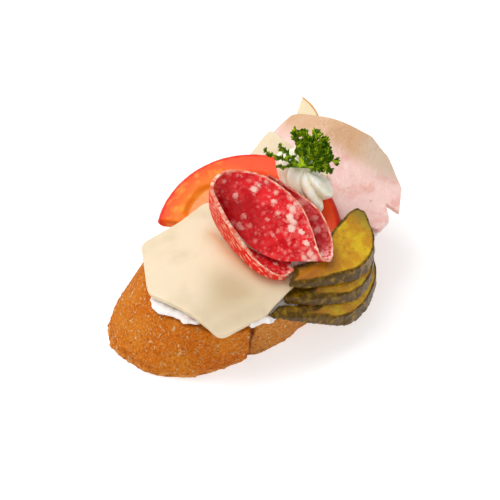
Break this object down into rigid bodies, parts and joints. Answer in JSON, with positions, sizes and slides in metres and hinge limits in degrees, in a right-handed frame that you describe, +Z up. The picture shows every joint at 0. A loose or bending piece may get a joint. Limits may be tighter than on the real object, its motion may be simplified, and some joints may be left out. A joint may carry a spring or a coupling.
{
  "type": "open sandwich",
  "caption": "Open sandwich on a slanted slice of white bread with spread, leaning cheese, ham, tomato, gherkin and folded salami, topped with a mayonnaise swirl and parsley.",
  "frame": {"origin": "middle of the bread slice's flat underside, which rests on the table", "axes": "+X along the slice towards the end where the ham lies, +Y across it to the side where the tomato's arc shows, +Z up"},
  "size_m": [0.1323, 0.0867, 0.066],
  "materials": {
    "crust": "baked bread crust, orange-brown, with pale crumb at the cut faces",
    "spread": "soft lumpy cream spread, white with a pink tinge",
    "cheese": "smooth pale cheese slice, faintly glossy",
    "smoked_cheese": "pale cheese with a thin golden-brown rind on its curved edge",
    "ham": "moist boiled ham, pink, tan towards its upper edge",
    "tomato": "wet tomato flesh with a glossy red skin",
    "gherkin": "wet pickled gherkin, amber-yellow cut face and dark olive bumpy skin",
    "salami": "deep red salami with pale pink flecks of fat and a thin casing edge",
    "mayonnaise": "glossy ivory mayonnaise, piped in folds",
    "parsley": "fresh curly parsley leaf"
  },
  "bodies": {
    "root": {"bread": "crust", "spread": "spread", "cheese_slope": "cheese", "cheese_square": "cheese", "smoked_cheese": "smoked_cheese", "ham": "ham", "tomato": "tomato", "gherkin_low": "gherkin", "gherkin_mid": "gherkin", "gherkin_top": "gherkin", "salami": "salami", "mayonnaise": "mayonnaise", "parsley": "parsley"}
  },
  "joints": []
}
